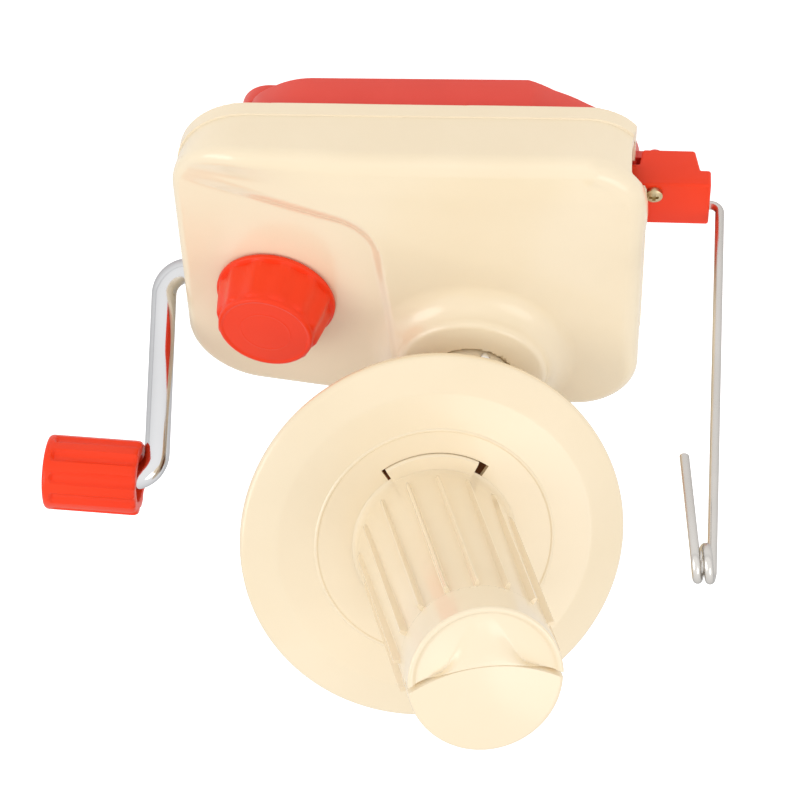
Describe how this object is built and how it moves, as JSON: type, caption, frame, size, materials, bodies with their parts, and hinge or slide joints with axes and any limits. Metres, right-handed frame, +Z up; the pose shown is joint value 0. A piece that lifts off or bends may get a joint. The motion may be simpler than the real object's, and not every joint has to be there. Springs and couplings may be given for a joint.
{
  "type": "yarn ball winder",
  "caption": "Table-clamped yarn ball winder: cream casing on a red base, side crank with a red grip, leaning flanged spool driven by gears, clamp knob and wire yarn guide.",
  "frame": {"origin": "middle of the base's underside, the face that sits on the table", "axes": "+Z up; +X from the crank towards the yarn guide; -Y towards the back, where the spool's gear end leans out, and +Y is the long open side of the casing"},
  "size_m": [0.1861, 0.145, 0.221],
  "materials": {
    "cream_plastic": "moulded, satin gloss",
    "red_plastic": "moulded, gloss",
    "white_nylon": "matt",
    "rubber_pad": "matt",
    "plated_steel": "bright plated"
  },
  "bodies": {
    "housing": {"upper_casing": "cream_plastic", "base_shell": "red_plastic", "casing_screws": "plated_steel", "guide_bracket": "red_plastic", "bracket_screw": "plated_steel", "crank_bush_outer": "white_nylon", "crank_bush_inner": "white_nylon", "cluster_shaft": "plated_steel", "cluster_clip": "plated_steel", "main_bush": "white_nylon", "thrust_washer": "plated_steel", "centre_post": "plated_steel", "sun_gear": "white_nylon", "clamp_guide_pins": "plated_steel"},
    "crank": {"crank_rod": "plated_steel", "crank_clip": "plated_steel", "crown_gear": "white_nylon", "grip_push_nut": "plated_steel"},
    "grip": {"crank_grip": "red_plastic", "grip_cap": "red_plastic"},
    "cluster": {"cluster_gear": "white_nylon"},
    "head": {"spinner_head": "cream_plastic", "head_sleeve": "plated_steel", "head_pinion": "white_nylon", "head_set_screw": "plated_steel", "spool_axle": "plated_steel", "axle_clip": "plated_steel"},
    "spool": {"spool_disc": "cream_plastic", "spool_gear": "white_nylon", "disc_screws": "plated_steel"},
    "tube": {"spool_tube": "cream_plastic", "spool_cap": "cream_plastic"},
    "knob": {"clamp_knob": "red_plastic", "clamp_screw": "plated_steel", "screw_stop_ring": "plated_steel"},
    "jaw": {"clamp_jaw": "red_plastic", "jaw_nut": "plated_steel", "jaw_pad": "rubber_pad"},
    "guide": {"guide_wire": "plated_steel"}
  },
  "joints": [
    {"name": "crank_turn", "type": "hinge", "parent": "housing", "child": "crank", "pos_m": [-0.05, -0.018, 0.0125], "axis": [1, 0, 0], "continuous": true},
    {"name": "grip_spin", "type": "hinge", "parent": "crank", "child": "grip", "pos_m": [-0.0859, -0.04609, 0.06533], "axis": [0.999, -0.0205, 0.0385], "continuous": true},
    {"name": "cluster_spin", "type": "hinge", "parent": "housing", "child": "cluster", "pos_m": [0.03622, -0.018, 0.022], "axis": [0, 0, 1], "continuous": true},
    {"name": "head_spin", "type": "hinge", "parent": "housing", "child": "head", "pos_m": [0.0168, -0.026, 0.04], "axis": [0, 0, 1], "continuous": true},
    {"name": "spool_spin", "type": "hinge", "parent": "head", "child": "spool", "pos_m": [0.0168, -0.026, 0.1195], "axis": [0.19, 0.5136, 0.8368], "continuous": true},
    {"name": "tube_twist", "type": "hinge", "parent": "spool", "child": "tube", "pos_m": [0.0168, -0.026, 0.1195], "axis": [0.19, 0.5136, 0.8368], "range_deg": [-6.5, 2.2]},
    {"name": "clamp_turn", "type": "hinge", "parent": "housing", "child": "knob", "pos_m": [-0.0336, -0.0095, 0], "axis": [-0.1409, 0, 0.99], "range_deg": [0, 5420]},
    {"name": "jaw_slide", "type": "slide", "parent": "housing", "child": "jaw", "axis": [0.1409, 0, -0.99], "range_m": [0, 0.03]},
    {"name": "guide_fold", "type": "hinge", "parent": "housing", "child": "guide", "pos_m": [0.076, 0.0192, 0.017], "axis": [1, 0, 0], "range_deg": [-20, 90]}
  ],
  "couplings": [
    {"joint": "cluster_spin", "follows": "crank_turn", "ratio": 1.6},
    {"joint": "head_spin", "follows": "crank_turn", "ratio": -4},
    {"joint": "spool_spin", "follows": "crank_turn", "ratio": -1.0909},
    {"joint": "clamp_turn", "follows": "jaw_slide", "rad_per_m": 3141.6}
  ]
}
